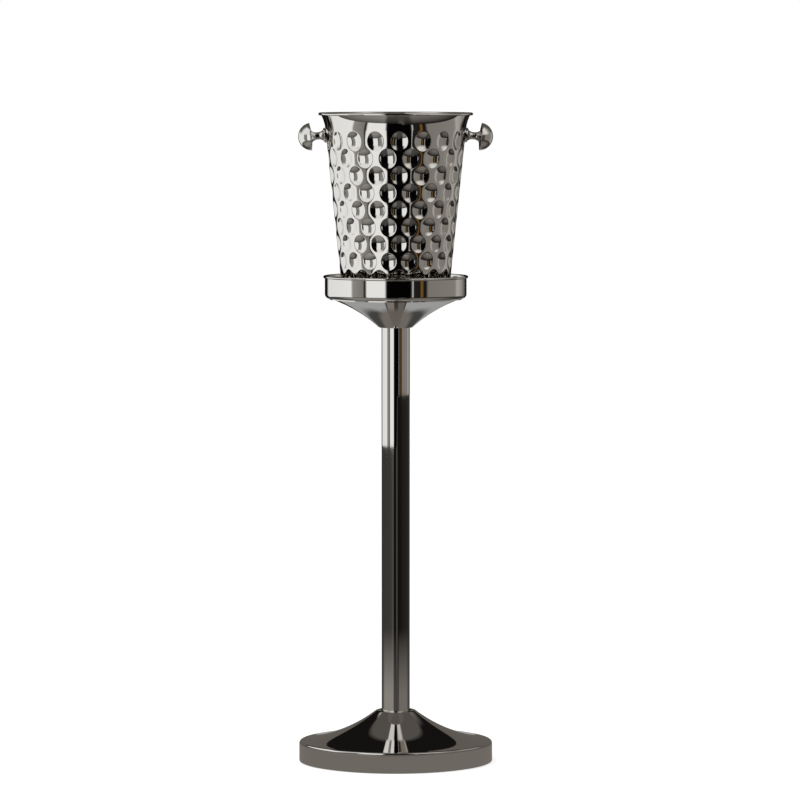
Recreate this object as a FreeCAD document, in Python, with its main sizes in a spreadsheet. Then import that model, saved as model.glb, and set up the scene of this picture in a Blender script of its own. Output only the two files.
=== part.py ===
import FreeCAD, Part
import math
import os
import re
import Sketcher

# Champagne and ice bucket of polished sheet steel that stands in the tray of a floor stand.
# The origin is the centre of the foot on the floor, Z is up and all sizes are millimetres.
doc = FreeCAD.newDocument("ice_bucket_on_stand")
V = FreeCAD.Vector

# Driving sizes. Each one is set once and everything that fits it is derived from it.
sizes = doc.addObject("Spreadsheet::Sheet", "Sizes")
table = [
    # Foot: weighted disc under a trumpet shaped cover
    ("pad_thickness", 2.2),
    ("pad_inner_radius", 92.0),
    ("pad_hem_gap", 0.5),
    ("base_radius", 130.0),
    ("base_sheet", 1.2),
    ("base_wall_height", 25.0),
    ("base_shoulder_radius", 3.5),
    ("base_shoulder_angle", 6.5),
    ("base_neck_angle", 37.5),
    ("base_neck_lip", 5.0),
    ("base_neck_depth", 4.5),
    ("hem_width", 6.0),
    ("hem_corner", 1.5),
    ("weight_thickness", 9.0),
    ("weight_edge_gap", 0.3),
    ("weight_chamfer", 1.5),
    ("hub_radius", 25.0),
    ("hub_height", 47.8),
    ("hub_recess", 4.0),
    ("base_counterbore_radius", 13.0),
    ("base_counterbore_depth", 11.8),
    # Column: plain tube with a tapped plug pressed in each end
    ("column_radius", 19.0),
    ("column_wall", 1.2),
    ("column_length", 573.3),
    ("neck_gap", 0.3),
    ("plug_gap", 0.1),
    ("plug_length", 24.0),
    # Fasteners
    ("thread_gap", 0.15),
    ("hole_gap", 0.5),
    ("base_bolt_radius", 5.0),
    ("base_bolt_reach", 52.0),
    ("base_head_flats", 17.0),
    ("base_head_height", 6.4),
    ("base_washer_radius", 10.0),
    ("base_washer_thickness", 2.0),
    ("base_spring_radius", 9.0),
    ("base_spring_thickness", 2.2),
    ("tray_bolt_radius", 4.0),
    ("tray_bolt_reach", 20.0),
    ("tray_head_radius", 7.0),
    ("tray_head_height", 4.4),
    ("tray_key_flats", 5.0),
    ("tray_key_depth", 2.5),
    ("tray_washer_radius", 8.0),
    ("tray_washer_thickness", 1.6),
    ("tray_spring_radius", 6.8),
    ("tray_spring_thickness", 2.0),
    ("spring_split", 1.5),
    # Tray: drawn pan on a trumpet shaped bell
    ("tray_sheet", 1.2),
    ("tray_radius", 95.0),
    ("tray_height", 30.7),
    ("tray_corner", 6.0),
    ("tray_rim_bead", 1.7),
    ("well_radius", 21.0),
    ("well_slope", 4.0),
    ("well_depth", 5.0),
    ("bell_sheet", 1.2),
    ("bell_flange_radius", 88.6),
    ("bell_flange_width", 3.6),
    ("bell_rim_angle", 20.0),
    ("bell_neck_angle", 42.0),
    ("bell_neck_radius", 21.6),
    ("bell_neck_lip", 2.0),
    ("bell_neck_roll", 1.5),
    ("bell_neck_depth", 3.0),
    # Bucket: tapered spun shell with a rolled rim
    ("bucket_sheet", 1.0),
    ("bucket_height", 247.6),
    ("bucket_foot_radius", 70.8),
    ("bucket_taper", 5.9),
    ("bucket_corner", 8.0),
    ("bucket_kick_radius", 44.0),
    ("bucket_kick_slope", 6.0),
    ("bucket_kick_height", 5.0),
    ("flare_angle", 30.0),
    ("flare_radius", 52.0),
    ("rim_bead", 1.9),
    # Dimples: round punched hollows in rows, each row turned half a step from the last
    ("dimple_rows", 9),
    ("dimples_per_row", 18),
    ("dimple_top_space", 23.4),
    ("dimple_foot_space", 16.5),
    ("dimple_top_fill", 0.611),
    ("dimple_foot_fill", 0.5187),
    ("dimple_dish", 0.27),
    ("dimple_margin", 0.7),
    # Knobs: one on each side, square to the sloping wall
    ("knob_drop", 30.1),
    ("knob_wall_gap", 0.1),
    ("knob_skirt", 1.4),
    ("knob_flange_radius", 10.0),
    ("knob_flange_thickness", 2.5),
    ("knob_neck_radius", 5.0),
    ("knob_neck_height", 10.8),
    ("knob_neck_curve", 11.0),
    ("knob_collar_radius", 10.0),
    ("knob_collar_height", 19.4),
    ("knob_collar_curve", 10.5),
    ("knob_cap_radius", 18.4),
    ("knob_cap_height", 20.6),
    ("knob_cap_edge", 0.8),
    ("knob_length", 37.4),
    ("knob_screw_radius", 2.5),
    ("knob_screw_reach", 9.0),
    ("knob_thread_depth", 11.0),
    ("knob_head_radius", 4.75),
    ("knob_head_height", 3.0),
    ("knob_key_flats", 3.0),
    ("knob_key_depth", 1.8),
    ("knob_washer_radius", 6.0),
    ("knob_washer_thickness", 1.0),
    ("knob_seal_radius", 6.5),
    ("knob_seal_thickness", 1.4),
]
for row, (alias, number) in enumerate(table, start=1):
    sizes.set(f"A{row}", alias.replace("_", " "))
    sizes.set(f"B{row}", str(number))
    sizes.setAlias(f"B{row}", alias)
doc.recompute()
names = [alias for alias, number in table]


def formula(text):
    # A formula in plain size names, with each name pointed at its cell
    return re.sub(r"[a-z]\w+", lambda m: f"Sizes.{m.group()}" if m.group() in names else m.group(), text)


def value(text):
    return float(sizes.evalExpression(formula(text)))


def draw(sketch, path, closed):
    # Each corner is (radius, height, curve). A curve is (radius, side) for the edge that leaves
    # the corner: its centre lies to the left (1) or to the right (-1) of the way ahead.
    spots = [(value(r), value(z)) for r, z, curve in path]
    count = len(path) if closed else len(path) - 1
    ends = []
    for i in range(count):
        x0, y0 = spots[i]
        x1, y1 = spots[(i + 1) % len(spots)]
        curve = path[i][2]
        if curve is None:
            sketch.addGeometry(Part.LineSegment(V(x0, y0, 0), V(x1, y1, 0)))
            ends.append((1, 2))
            continue
        radius = value(curve[0])
        side = curve[1]
        chord = math.hypot(x1 - x0, y1 - y0)
        rise = side * math.sqrt(max(radius ** 2 - chord ** 2 / 4, 0))
        cx = (x0 + x1) / 2 - (y1 - y0) / chord * rise
        cy = (y0 + y1) / 2 + (x1 - x0) / chord * rise
        first = math.atan2(y0 - cy, x0 - cx)
        last = math.atan2(y1 - cy, x1 - cx)
        if side < 0:
            first, last = last, first
        circle = Part.Circle(V(cx, cy, 0), V(0, 0, 1), radius)
        sketch.addGeometry(Part.ArcOfCircle(circle, first, last))
        ends.append((1, 2) if side > 0 else (2, 1))
    for i in range(count):
        if closed or i < count - 1:
            j = (i + 1) % count
            sketch.addConstraint(Sketcher.Constraint("Coincident", i, ends[i][1], j, ends[j][0]))
    for i, (r, z, curve) in enumerate(path):
        edge, end = (i, ends[i][0]) if i < count else (i - 1, ends[i - 1][1])
        for kind, text, place, axis in (("DistanceX", r, spots[i][0], -2), ("DistanceY", z, spots[i][1], -1)):
            if text == "0":
                sketch.addConstraint(Sketcher.Constraint("PointOnObject", edge, end, axis))
                continue
            mark = sketch.addConstraint(Sketcher.Constraint(kind, -1, 1, edge, end, place))
            sketch.setExpression(f"Constraints[{mark}]", formula(text))
        if curve is not None and i < count:
            mark = sketch.addConstraint(Sketcher.Constraint("Radius", i, value(curve[0])))
            sketch.setExpression(f"Constraints[{mark}]", formula(curve[0]))


def plane_of(body, role):
    return [f for f in body.Origin.OriginFeatures if f.Role == role][0]


def spun_body(label, path, stands_at="0"):
    # A turned or spun piece: a closed profile on the XZ plane, revolved about Z
    body = doc.addObject("PartDesign::Body", label)
    body.Label = label
    sketch = body.newObject("Sketcher::SketchObject", f"{label}_profile")
    sketch.AttachmentSupport = (plane_of(body, "XZ_Plane"), [""])
    sketch.MapMode = "FlatFace"
    draw(sketch, path, True)
    doc.recompute()
    spin = body.newObject("PartDesign::Revolution", f"{label}_spin")
    spin.Profile = sketch
    spin.ReferenceAxis = (sketch, ["V_Axis"])
    spin.Angle = 360
    if stands_at != "0":
        body.setExpression("Placement.Base.z", formula(stands_at))
    doc.recompute()
    return body


def spun_sheet(label, path, sheet, roll=()):
    # A sheet metal piece. Each corner of its outer line is (radius, height, curve, way out), where
    # the way out is square to the sheet there, and the inner line lies one sheet inside it. A roll
    # is the line of a rolled rim, from the outer line round to the inner one.
    outer = [(r, z, curve) for r, z, curve, way in path]
    if roll:
        outer[-1] = roll[0]
        outer.extend(roll[1:])
    inner = []
    for i, (r, z, curve, way) in reversed(list(enumerate(path))):
        bend = path[i - 1][2] if i > 0 else None
        if bend is not None:
            bend = (f"{bend[0]} - {bend[1]} * {sheet}", -bend[1])
        inner.append((r if way[0] == "0" else f"{r} - {sheet} * ({way[0]})",
                      z if way[1] == "0" else f"{z} - {sheet} * ({way[1]})", bend))
    return spun_body(label, outer + inner)


def solid(kind, label, places, **cells):
    # A plain solid whose sizes and place are bound to the sheet
    piece = doc.addObject(kind, label)
    for name, text in cells.items():
        piece.setExpression(name, formula(text))
    for axis, text in zip("xyz", places):
        piece.setExpression(f"Placement.Base.{axis}", formula(text))
    return piece


def joined(kind, label, base, tool):
    piece = doc.addObject(kind, label)
    piece.Base = base
    piece.Tool = tool
    piece.Label = label
    doc.recompute()
    return piece


# Heights that the pieces share, from the floor up
hem_under = "pad_thickness - base_sheet"
weight_under = "pad_thickness"
column_foot = "(pad_thickness + hub_height - hub_recess)"
column_top = f"({column_foot} + column_length)"
well_top = f"({column_top} + tray_sheet)"
tray_floor = f"({well_top} + well_depth)"
tray_under = f"({tray_floor} - tray_sheet)"
tray_top = f"({tray_under} + tray_height)"
neck_hole = "(column_radius + neck_gap)"
nodes = []

# Rubber ring that the stand rests on, inside the hem of the foot
pad_radius = "base_radius - hem_width - pad_hem_gap"
nodes.append(spun_body("floor_pad", [
    ("pad_inner_radius", "0", None),
    (pad_radius, "0", None),
    (pad_radius, "pad_thickness", None),
    ("pad_inner_radius", "pad_thickness", None),
]))

# Cover of the foot: a hem turned in under the weight, an upright wall, a small shoulder and a
# trumpet curve up to the rolled neck round the column
bell_curve = ("((base_radius - base_shoulder_radius - {hole} - base_neck_lip"
              " + base_shoulder_radius * sin(base_shoulder_angle) - base_neck_lip * sin(base_neck_angle))"
              " / (sin(base_neck_angle) - sin(base_shoulder_angle)))").format(hole=neck_hole)
shoulder_r = "(base_radius - base_shoulder_radius + base_shoulder_radius * sin(base_shoulder_angle))"
shoulder_z = "(base_wall_height + base_shoulder_radius * cos(base_shoulder_angle))"
curve_r = f"({shoulder_r} + {bell_curve} * sin(base_shoulder_angle))"
curve_z = f"({shoulder_z} + {bell_curve} * cos(base_shoulder_angle))"
lip_r = f"({curve_r} - {bell_curve} * sin(base_neck_angle))"
lip_z = f"({curve_z} - {bell_curve} * cos(base_neck_angle))"
neck_z = f"({lip_z} - base_neck_lip * cos(base_neck_angle))"
nodes.append(spun_sheet("base_shell", [
    ("base_radius - hem_width", hem_under, None, ("0", "-1")),
    ("base_radius - hem_corner", hem_under, ("hem_corner", 1), ("0", "-1")),
    ("base_radius", f"{hem_under} + hem_corner", None, ("1", "0")),
    ("base_radius", "base_wall_height", ("base_shoulder_radius", 1), ("1", "0")),
    (shoulder_r, shoulder_z, (bell_curve, -1), ("sin(base_shoulder_angle)", "cos(base_shoulder_angle)")),
    (lip_r, lip_z, ("base_neck_lip", 1), ("sin(base_neck_angle)", "cos(base_neck_angle)")),
    (neck_hole, neck_z, None, ("-1", "0")),
    (neck_hole, f"{neck_z} - base_neck_depth", None, ("-1", "0")),
], "base_sheet"))

# Cast iron weight that fills the foot, with a hub whose recess seats the column
weight_radius = "base_radius - base_sheet - weight_edge_gap"
weight_top = "pad_thickness + weight_thickness"
hub_top = "pad_thickness + hub_height"
counterbore_top = "(pad_thickness + base_counterbore_depth)"
bolt_hole = "base_bolt_radius + hole_gap"
nodes.append(spun_body("base_weight", [
    ("base_counterbore_radius", weight_under, None),
    (f"{weight_radius} - weight_chamfer", weight_under, None),
    (weight_radius, f"{weight_under} + weight_chamfer", None),
    (weight_radius, f"{weight_top} - weight_chamfer", None),
    (f"{weight_radius} - weight_chamfer", weight_top, None),
    ("hub_radius", weight_top, None),
    ("hub_radius", hub_top, None),
    (neck_hole, hub_top, None),
    (neck_hole, column_foot, None),
    (bolt_hole, column_foot, None),
    (bolt_hole, counterbore_top, None),
    ("base_counterbore_radius", counterbore_top, None),
]))

# Column, with its tapped plugs flush with its two ends
bore = "column_radius - column_wall"
nodes.append(spun_body("column_tube", [
    (bore, "0", None),
    ("column_radius", "0", None),
    ("column_radius", "column_length", None),
    (bore, "column_length", None),
], column_foot))
for label, bolt, foot in (("bottom_plug", "base_bolt_radius", column_foot),
                          ("top_plug", "tray_bolt_radius", f"{column_top} - plug_length")):
    nodes.append(spun_body(label, [
        (f"{bolt} + thread_gap", "0", None),
        (f"{bore} - plug_gap", "0", None),
        (f"{bore} - plug_gap", "plug_length", None),
        (f"{bolt} + thread_gap", "plug_length", None),
    ], foot))


def flat_washer(label, inner, outer, thickness, foot):
    nodes.append(spun_body(label, [
        (inner, "0", None),
        (outer, "0", None),
        (outer, thickness, None),
        (inner, thickness, None),
    ], foot))


def spring_washer(label, inner, outer, thickness, foot):
    # A flattened split ring
    ring = solid("Part::Cylinder", f"{label}_ring", ("0", "0", foot), Radius=outer, Height=thickness)
    hole = solid("Part::Cylinder", f"{label}_hole", ("0", "0", foot), Radius=inner, Height=thickness)
    split = solid("Part::Box", f"{label}_split", ("0", "-spring_split / 2", foot),
                  Length=f"2 * {outer}", Width="spring_split", Height=thickness)
    washer = joined("Part::Cut", f"{label}_closed", ring, hole)
    nodes.append(joined("Part::Cut", label, washer, split))


# Bolt from below that pulls the column down into the hub, with its two washers
base_washer_z = f"({counterbore_top} - base_washer_thickness)"
base_spring_z = f"({base_washer_z} - base_spring_thickness)"
base_head_z = f"({base_spring_z} - base_head_height)"
flat_washer("base_flat_washer", bolt_hole, "base_washer_radius", "base_washer_thickness", base_washer_z)
spring_washer("base_spring_washer", bolt_hole, "base_spring_radius", "base_spring_thickness", base_spring_z)
head = solid("Part::Prism", "base_bolt_head", ("0", "0", base_head_z),
             Circumradius="base_head_flats / 2 / cos(30)", Height="base_head_height")
shank = solid("Part::Cylinder", "base_bolt_shank", ("0", "0", base_spring_z),
              Radius="base_bolt_radius", Height="base_bolt_reach")
nodes.append(joined("Part::Fuse", "base_bolt", head, shank))

# Bell under the tray: a flat flange welded under the pan, a trumpet curve and a rolled neck
bell_start_r = "(bell_flange_radius - bell_flange_width)"
bell_start_z = f"({tray_under} - bell_sheet)"
trumpet = (f"(({bell_start_r} - bell_neck_radius - bell_neck_lip * sin(bell_neck_angle))"
           " / (sin(bell_neck_angle) - sin(bell_rim_angle)))")
bell_end_r = f"({bell_start_r} + {trumpet} * (sin(bell_rim_angle) - sin(bell_neck_angle)))"
bell_end_z = f"({bell_start_z} + {trumpet} * (cos(bell_neck_angle) - cos(bell_rim_angle)))"
bell_foot = f"({bell_end_z} + bell_neck_lip * (cos(bell_neck_angle) - 1))"
nodes.append(spun_sheet("tray_bell", [
    (neck_hole, f"{bell_foot} + bell_neck_roll + bell_neck_depth", None, ("-1", "0")),
    (neck_hole, f"{bell_foot} + bell_neck_roll", ("bell_neck_roll", 1), ("-1", "0")),
    (f"{neck_hole} + bell_neck_roll", bell_foot, None, ("0", "-1")),
    ("bell_neck_radius", bell_foot, ("bell_neck_lip", 1), ("0", "-1")),
    (bell_end_r, bell_end_z, (trumpet, -1), ("sin(bell_neck_angle)", "-cos(bell_neck_angle)")),
    (bell_start_r, bell_start_z, None, ("tan(bell_rim_angle / 2)", "-1")),
    ("bell_flange_radius", bell_start_z, None, ("0", "-1")),
], "bell_sheet"))

# Pan of the tray: a bolted well, a flat floor, an upright wall and a rolled rim
well_under = column_top
tray_bead_r = "(tray_radius - tray_sheet + tray_rim_bead)"
tray_bead_z = f"({tray_top} - tray_rim_bead)"
tray_bead_cut = "sqrt(tray_rim_bead ^ 2 - (tray_rim_bead - tray_sheet) ^ 2)"
well_lean = "((sqrt(well_depth ^ 2 + well_slope ^ 2) - well_slope) / well_depth)"
nodes.append(spun_sheet("tray_dish", [
    ("tray_bolt_radius + hole_gap", well_under, None, ("0", "-1")),
    ("well_radius", well_under, None, (well_lean, "-1")),
    ("well_radius + well_slope", tray_under, None, (well_lean, "-1")),
    ("tray_radius - tray_corner", tray_under, ("tray_corner", 1), ("0", "-1")),
    ("tray_radius", f"{tray_under} + tray_corner", None, ("1", "0")),
    ("tray_radius", tray_bead_z, None, ("1", "0")),
], "tray_sheet", [
    ("tray_radius", f"{tray_bead_z} - {tray_bead_cut}", ("tray_rim_bead", 1)),
    (f"{tray_bead_r} + tray_rim_bead", tray_bead_z, ("tray_rim_bead", 1)),
    (tray_bead_r, tray_top, ("tray_rim_bead", 1)),
]))

# Round headed bolt in the well, with its two washers, into the plug of the column
tray_spring_z = f"({well_top} + tray_washer_thickness)"
tray_head_z = f"({tray_spring_z} + tray_spring_thickness)"
flat_washer("tray_flat_washer", "tray_bolt_radius + hole_gap", "tray_washer_radius", "tray_washer_thickness", well_top)
spring_washer("tray_spring_washer", "tray_bolt_radius + hole_gap", "tray_spring_radius", "tray_spring_thickness",
              tray_spring_z)
tray_bolt = spun_body("tray_bolt_blank", [
    ("0", "0", None),
    ("tray_bolt_radius", "0", None),
    ("tray_bolt_radius", "tray_bolt_reach", None),
    ("tray_head_radius", "tray_bolt_reach", None),
    ("tray_head_radius", "tray_bolt_reach + tray_head_height * 0.35", ("tray_head_height", 1)),
    ("tray_head_radius * 0.55", "tray_bolt_reach + tray_head_height", None),
    ("0", "tray_bolt_reach + tray_head_height", None),
], f"{tray_head_z} - tray_bolt_reach")
key = solid("Part::Prism", "tray_bolt_key", ("0", "0", f"{tray_head_z} + tray_head_height - tray_key_depth"),
            Circumradius="tray_key_flats / 2 / cos(30)", Height="tray_head_height")
nodes.append(joined("Part::Cut", "tray_bolt", tray_bolt, key))

# Bucket wall: a raised bottom, a rounded corner, a straight taper and a flare up to the rim
bucket_floor = tray_floor
bucket_top = f"({bucket_floor} + bucket_height)"
corner_r = "(bucket_foot_radius - bucket_corner * (1 - sin(bucket_taper)) / cos(bucket_taper))"
flare_end_z = f"({bucket_top} - rim_bead + (rim_bead - bucket_sheet) * sin(flare_angle))"
flare_z = f"({flare_end_z} - flare_radius * (sin(flare_angle) - sin(bucket_taper)))"
flare_r = f"(bucket_foot_radius + ({flare_z} - {bucket_floor}) * tan(bucket_taper))"
flare_end_r = f"({flare_r} + flare_radius * (cos(bucket_taper) - cos(flare_angle)))"
kick_lean = "((bucket_kick_slope - sqrt(bucket_kick_height ^ 2 + bucket_kick_slope ^ 2)) / bucket_kick_height)"
wall_way = ("cos(bucket_taper)", "-sin(bucket_taper)")
bead_r = f"({flare_end_r} + (rim_bead - bucket_sheet) * cos(flare_angle))"
bead_z = f"({bucket_top} - rim_bead)"
bead_cut = "sqrt(rim_bead ^ 2 - (rim_bead - bucket_sheet) ^ 2)"
bucket = spun_sheet("bucket_blank", [
    ("0", f"{bucket_floor} + bucket_kick_height", None, ("0", "-1")),
    ("bucket_kick_radius", f"{bucket_floor} + bucket_kick_height", None, (kick_lean, "-1")),
    ("bucket_kick_radius + bucket_kick_slope", bucket_floor, None, (kick_lean, "-1")),
    (corner_r, bucket_floor, ("bucket_corner", 1), ("0", "-1")),
    (f"{corner_r} + bucket_corner * cos(bucket_taper)",
     f"{bucket_floor} + bucket_corner * (1 - sin(bucket_taper))", None, wall_way),
    (flare_r, flare_z, ("flare_radius", -1), wall_way),
    (flare_end_r, flare_end_z, None, ("cos(flare_angle)", "-sin(flare_angle)")),
], "bucket_sheet", [
    (f"{flare_end_r} - {bead_cut} * sin(flare_angle)", f"{flare_end_z} - {bead_cut} * cos(flare_angle)",
     ("rim_bead", 1)),
    (f"{bead_r} + rim_bead", bead_z, ("rim_bead", 1)),
    (bead_r, bucket_top, ("rim_bead", 1)),
])

# Dimples: a punch with a ball end sinks each one square to the wall, and the sheet keeps its
# thickness. The rows share the height between the spaces kept free at the top and the foot.
# One step of the whole bucket is made, copied round the axis and sewn into one skin
rows = round(value("dimple_rows"))
steps = round(value("dimples_per_row"))
sheet = value("bucket_sheet")
lean = math.radians(value("bucket_taper"))
row_pitch = value("(bucket_height - dimple_top_space - dimple_foot_space)"
                  " / (dimple_rows - 1 + dimple_top_fill + dimple_foot_fill)")
shrink = row_pitch * value("dimple_top_fill - dimple_foot_fill") / max(rows - 1, 1)
row_radii = [row_pitch * value("dimple_top_fill") - shrink * i for i in range(rows)]
first_row = value(f"{bucket_top} - dimple_top_space") - row_radii[0]
band_top = first_row + row_radii[0] + value("dimple_margin")
band_foot = first_row - row_pitch * (rows - 1) - row_radii[-1] - value("dimple_margin")
axis = (V(0, 0, 0), V(0, 0, 1))


def wall_at(z, inset):
    return value("bucket_foot_radius") + (z - value(bucket_floor)) * math.tan(lean) - inset / math.cos(lean)


def punch_ball(row, inset, turn):
    # The ball end of the punch where it has sunk one hollow, grown by an inset
    radius = row_radii[row]
    depth = radius * value("dimple_dish")
    ball = (radius ** 2 + depth ** 2) / (2 * depth)
    z = first_row - row * row_pitch
    centre = V(wall_at(z, 0) + (ball - depth) * math.cos(lean), 0, z - (ball - depth) * math.sin(lean))
    punch = Part.makeSphere(ball + inset, centre)
    punch.rotate(*axis, turn)
    return punch


half_step = 180 / steps


def dented_wall(inset):
    # Both halves of one step of the dimpled wall: solid wedges with the balls of the punch cut
    # out of their faces. Every hollow is parted through its middle, where the cut is exact
    faces = []
    for start in (-half_step, 0):
        wedge = Part.makeCone(wall_at(band_foot, inset), wall_at(band_top, inset), band_top - band_foot,
                              V(0, 0, band_foot), V(0, 0, 1), half_step)
        wedge.rotate(*axis, start)
        turned = start if start else half_step
        balls = [punch_ball(row, inset, turned if row % 2 else 0) for row in range(rows)]
        wall = [face for face in wedge.cut(balls).Faces if not isinstance(face.Surface, Part.Plane)]
        hollows = [face for face in wall if isinstance(face.Surface, Part.Sphere)]
        if len(hollows) != rows:
            raise RuntimeError(f"the wall has {len(hollows)} of its {rows} hollows")
        faces.extend(wall)
    return faces


def plain_wall():
    # Both halves of one step of the bucket above and below the dimples, without their cut faces
    profile = Part.Face(bucket.Group[0].Shape.Wires[0])
    strip = Part.makePlane(value("bucket_height"), band_top - band_foot, V(0, 0, band_foot), V(0, -1, 0), V(1, 0, 0))
    faces = []
    for part in profile.cut(strip).Faces:
        for start in (-half_step, 0):
            wedge = part.revolve(*axis, half_step)
            wedge.rotate(*axis, start)
            for face in wedge.Faces:
                if isinstance(face.Surface, Part.Plane):
                    upright = abs(face.Surface.Axis.z) < 0.5
                    cut_end = min(abs(face.CenterOfMass.z - band_top), abs(face.CenterOfMass.z - band_foot)) < 1e-6
                    if upright or cut_end:
                        continue
                faces.append(face)
    return faces


step_faces = dented_wall(0) + dented_wall(sheet) + plain_wall()
bucket_faces = []
for i in range(steps):
    for face in step_faces:
        copy = face.copy()
        copy.rotate(*axis, (i + 0.5) * 360 / steps)
        bucket_faces.append(copy)
skin = Part.Shell(bucket_faces)
skin.sewShape()
dimpled = doc.addObject("Part::Feature", "bucket_dimpled")
dimpled.Shape = Part.Solid(skin)
bucket = dimpled

# Knobs: each one stands square to the wall, held by a screw from inside the bucket
knob_z = f"({bucket_top} - knob_drop)"
knob_r = f"(bucket_foot_radius + ({knob_z} - {bucket_floor}) * tan(bucket_taper))"


def beside(piece, side, out):
    # Puts a piece on the axis of a knob, a distance out from the wall's outer face
    piece.Placement = FreeCAD.Placement(V(0, 0, 0), FreeCAD.Rotation(V(0, 1, 0), side * 90))
    piece.setExpression("Placement.Base.x", formula(f"{side} * ({knob_r} + ({out}) * cos(bucket_taper))"))
    piece.setExpression("Placement.Base.z", formula(f"{knob_z} - ({out}) * sin(bucket_taper)"))
    turn = "90 + bucket_taper" if side > 0 else "-(90 + bucket_taper)"
    piece.setExpression("Placement.Rotation.Angle", formula(turn))


def wall_cone(label, gap):
    # The straight part of the wall as a cone, a gap outside its outer face
    start = f"bucket_foot_radius + ({gap}) / cos(bucket_taper)"
    cone = solid("Part::Cone", label, ("0", "0", bucket_floor), Radius1=start,
                 Radius2=f"{start} + bucket_height * tan(bucket_taper)", Height="bucket_height")
    doc.recompute()
    return cone


dome_rise = "(knob_length - knob_cap_height - knob_cap_edge)"
dome = f"((knob_cap_radius ^ 2 + {dome_rise} ^ 2) / (2 * {dome_rise}))"
seal_out = "bucket_sheet + knob_seal_thickness"
washer_out = f"{seal_out} + knob_washer_thickness"
screw_out = f"{washer_out} + knob_head_height"
clear_hole = "knob_screw_radius + hole_gap / 2"
thread = "knob_screw_radius + thread_gap"
for side, hand in ((-1, "left"), (1, "right")):
    blank = spun_body(f"{hand}_knob_blank", [
        (thread, "0", None),
        ("knob_flange_radius", "0", None),
        ("knob_flange_radius", "knob_skirt + knob_flange_thickness", ("knob_neck_curve", -1)),
        ("knob_neck_radius", "knob_skirt + knob_neck_height", ("knob_collar_curve", -1)),
        ("knob_collar_radius", "knob_skirt + knob_collar_height", None),
        ("knob_cap_radius - knob_cap_edge", "knob_skirt + knob_cap_height", None),
        ("knob_cap_radius", "knob_skirt + knob_cap_height + knob_cap_edge", (dome, 1)),
        ("0", "knob_skirt + knob_length", None),
        ("0", "knob_skirt + knob_thread_depth", None),
        (thread, "knob_skirt + knob_thread_depth", None),
    ])
    beside(blank, side, "-knob_skirt")
    doc.recompute()
    nodes.append(joined("Part::Cut", f"{hand}_knob", blank, wall_cone(f"{hand}_knob_seat", "knob_wall_gap")))

    # Screw from inside, its washer and the rubber seal that takes the curve of the wall
    screw = spun_body(f"{hand}_knob_screw_blank", [
        ("0", "0", None),
        ("knob_head_radius", "0", None),
        ("knob_head_radius", "knob_head_height", None),
        ("knob_screw_radius", "knob_head_height", None),
        ("knob_screw_radius", f"{screw_out} + knob_screw_reach", None),
        ("0", f"{screw_out} + knob_screw_reach", None),
    ])
    beside(screw, side, f"-({screw_out})")
    socket = solid("Part::Prism", f"{hand}_knob_screw_key", ("0", "0", "0"),
                   Circumradius="knob_key_flats / 2 / cos(30)", Height="2 * knob_key_depth")
    beside(socket, side, f"-({screw_out} + knob_key_depth)")
    doc.recompute()
    nodes.append(joined("Part::Cut", f"{hand}_knob_screw", screw, socket))
    washer = spun_body(f"{hand}_knob_washer", [
        (clear_hole, "0", None),
        ("knob_washer_radius", "0", None),
        ("knob_washer_radius", "knob_washer_thickness", None),
        (clear_hole, "knob_washer_thickness", None),
    ])
    beside(washer, side, f"-({washer_out})")
    nodes.append(washer)
    seal = spun_body(f"{hand}_knob_seal_blank", [
        (clear_hole, "0", None),
        ("knob_seal_radius", "0", None),
        ("knob_seal_radius", "knob_seal_thickness", None),
        (clear_hole, "knob_seal_thickness", None),
    ])
    beside(seal, side, f"-({seal_out})")
    doc.recompute()
    seal = joined("Part::Common", f"{hand}_seal_blank", seal, wall_cone(f"{hand}_seal_seat", "-bucket_sheet"))
    # The rubber gives way to the two hollows beside the knob, which stand proud inside the wall
    facing = 0 if side > 0 else 180
    for turn in (facing - 180 / steps, facing + 180 / steps):
        hollow = doc.addObject("Part::Feature", f"{hand}_hollow")
        hollow.Shape = punch_ball(0, sheet, turn)
        seal = joined("Part::Cut", f"{hand}_seal_formed", seal, hollow)
    seal.Label = f"{hand}_knob_seal"
    nodes.append(seal)

    # The hole for the screw through the wall
    drill = solid("Part::Cylinder", f"{hand}_wall_hole", ("0", "0", "0"), Radius=clear_hole, Height="8 * bucket_sheet")
    beside(drill, side, "-4 * bucket_sheet")
    doc.recompute()
    bucket = joined("Part::Cut", f"bucket_with_{hand}_hole", bucket, drill)
bucket.Label = "bucket_shell"
nodes.append(bucket)

# Every object is checked before anything is written
doc.recompute()
for item in doc.Objects:
    if "Invalid" in item.State or "Error" in item.State:
        raise RuntimeError(f"{item.Label} failed: {item.State}")
os.makedirs("parts", exist_ok=True)
for node in nodes:
    shape = node.Shape
    if shape.isNull() or not shape.isValid() or not shape.Solids:
        raise RuntimeError(f"{node.Label} has no valid shape")
for node in nodes:
    node.Shape.exportStep(f"parts/{node.Label}.step")
    print(node.Label, len(node.Shape.Solids), round(node.Shape.Volume / 1000, 2))
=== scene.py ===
import math
import bpy
import bmesh
from mathutils import Matrix, Vector


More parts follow.
